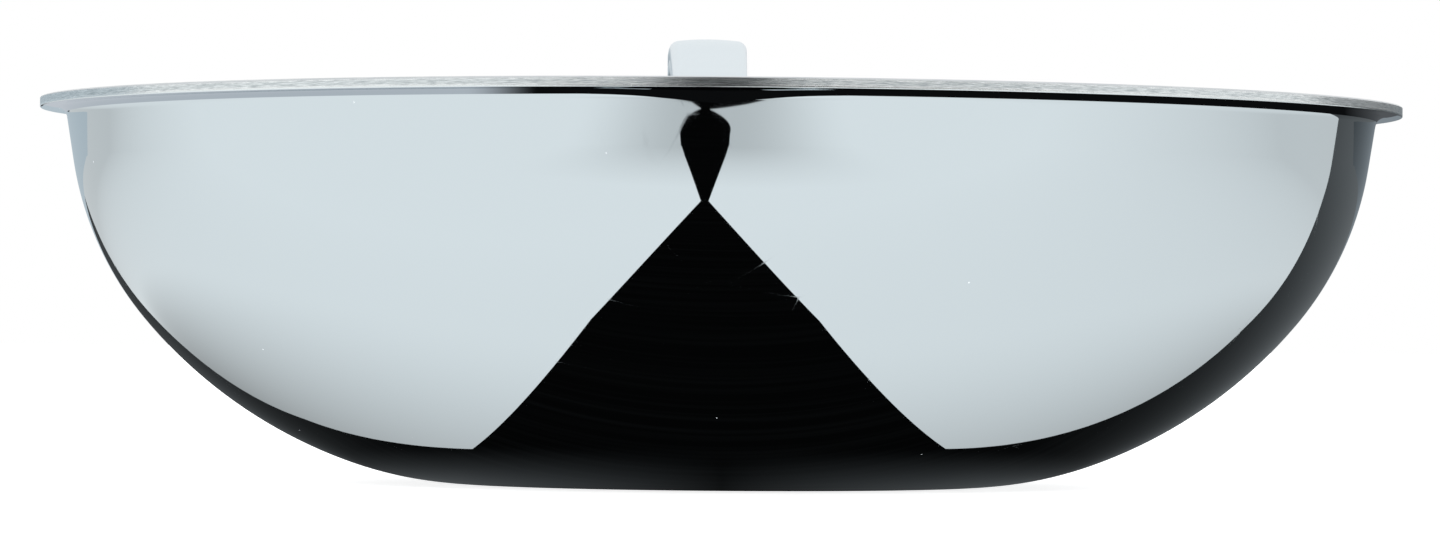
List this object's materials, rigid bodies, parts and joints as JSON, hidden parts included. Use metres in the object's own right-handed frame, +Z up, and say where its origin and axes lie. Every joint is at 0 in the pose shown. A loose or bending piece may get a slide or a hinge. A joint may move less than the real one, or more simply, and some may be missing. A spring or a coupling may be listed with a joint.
{
  "type": "flat-bottomed wok",
  "caption": "Deep flat-bottomed stir-fry pan of bonded polished stainless sheet, with a flat out-turned rim and a long hollow riveted handle that rises to a crest and a hanging eye.",
  "frame": {"origin": "centre of the underside of the flat base, on the surface the pan stands on", "axes": "+Z up, +Y from the bowl along the handle to its tip, +X to the right"},
  "size_m": [0.314, 0.522, 0.12],
  "materials": {
    "mirror_steel": "polished",
    "satin_steel": "satin",
    "alloy": "satin",
    "core_alloy": "satin",
    "cast_steel": "satin",
    "rivet_steel": "polished",
    "screw_steel": "satin"
  },
  "bodies": {
    "root": {"outer_ply": "mirror_steel", "outer_alloy_ply": "alloy", "core_ply": "core_alloy", "inner_alloy_ply": "alloy", "inner_ply": "satin_steel", "handle_foot": "cast_steel", "handle_collar": "rivet_steel", "upper_shell": "satin_steel", "lower_shell": "satin_steel", "handle_screws": "screw_steel", "hanging_eye": "rivet_steel", "rivets": "rivet_steel"}
  },
  "joints": []
}
